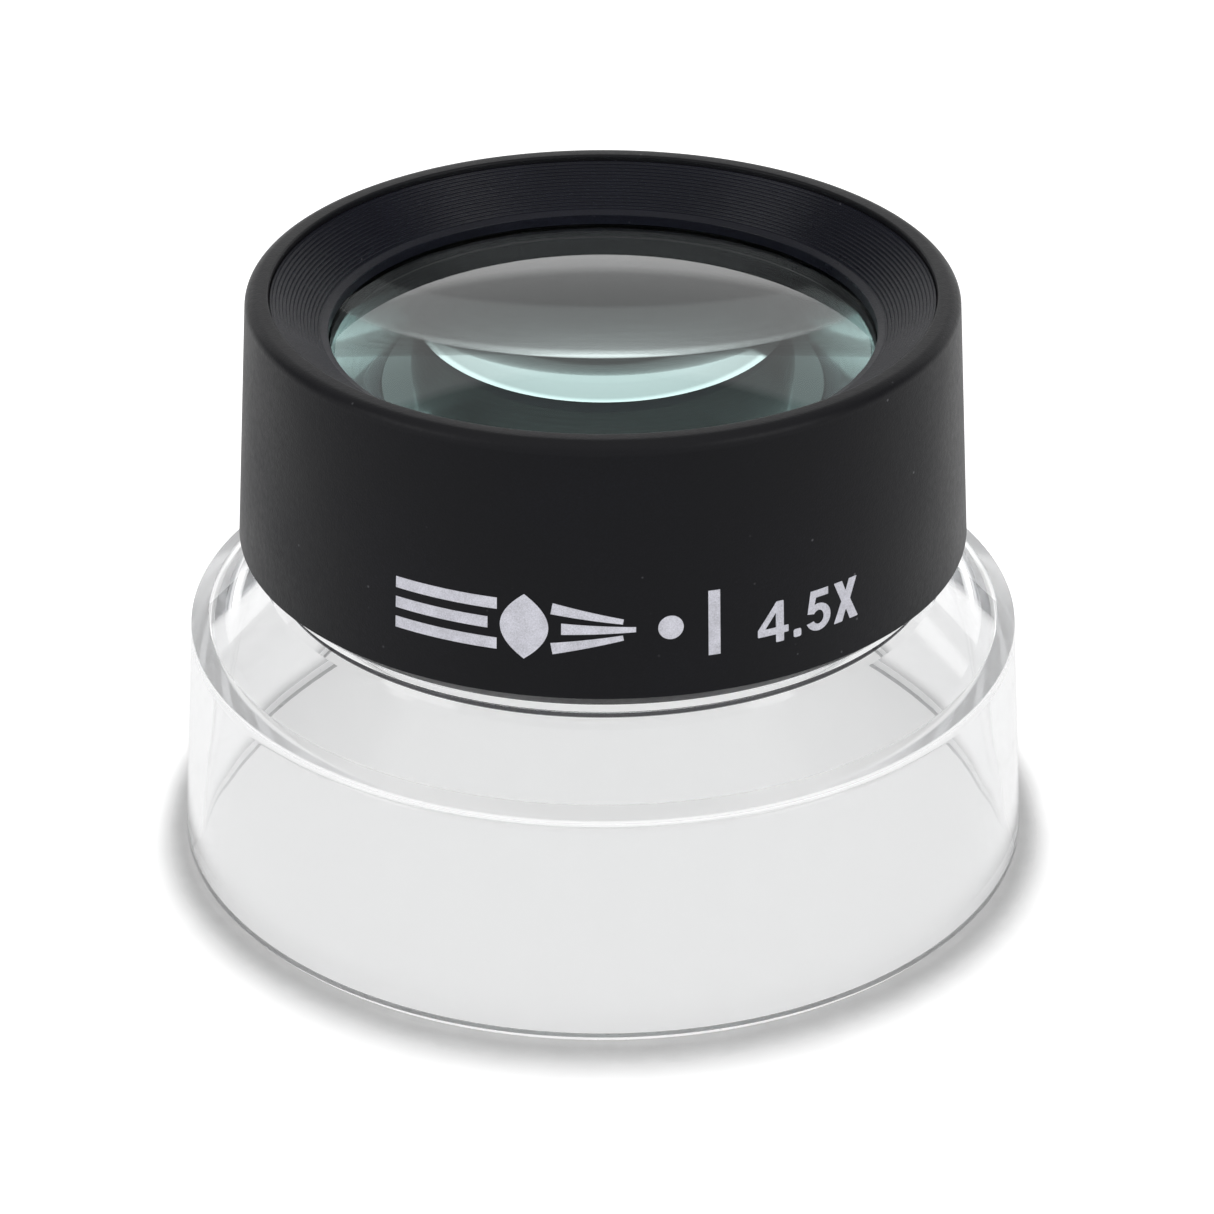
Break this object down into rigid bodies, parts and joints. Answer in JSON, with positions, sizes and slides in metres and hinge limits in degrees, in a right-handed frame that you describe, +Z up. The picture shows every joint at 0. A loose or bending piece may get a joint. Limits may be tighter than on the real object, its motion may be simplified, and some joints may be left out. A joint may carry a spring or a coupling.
{
  "type": "stand loupe",
  "caption": "Stand loupe with a tapered black lens head that screws up and down on the threaded neck of a clear, flared skirt.",
  "frame": {"origin": "on the optical axis, at the foot of the skirt", "axes": "+Z up along the optical axis; the printed front faces -Y"},
  "size_m": [0.087, 0.087, 0.0599],
  "materials": {
    "clear_acrylic": "clear, polished",
    "black_plastic": "satin black, very fine grain",
    "dull_black": "dull black, against stray light",
    "lens_glass": "polished, pale green-blue tint",
    "silver_print": "silver pad print"
  },
  "bodies": {
    "stand": {"clear_stand": "clear_acrylic"},
    "cell": {"lens_cell": "dull_black", "upper_lens": "lens_glass", "lens_spacer": "dull_black", "lower_lens": "lens_glass", "retaining_ring": "dull_black"},
    "hood": {"hood": "black_plastic", "front_baffle": "black_plastic"}
  },
  "joints": [
    {"name": "focus_lift", "type": "slide", "parent": "stand", "child": "cell", "axis": [0, 0, 1], "range_m": [-0.0015, 0.003]},
    {"name": "focus_turn", "type": "hinge", "parent": "cell", "child": "hood", "pos_m": [0, 0, 0], "axis": [0, 0, 1], "range_deg": [-180, 360]}
  ],
  "couplings": [
    {"joint": "focus_lift", "follows": "focus_turn", "m_per_rad": 0.00047746}
  ]
}
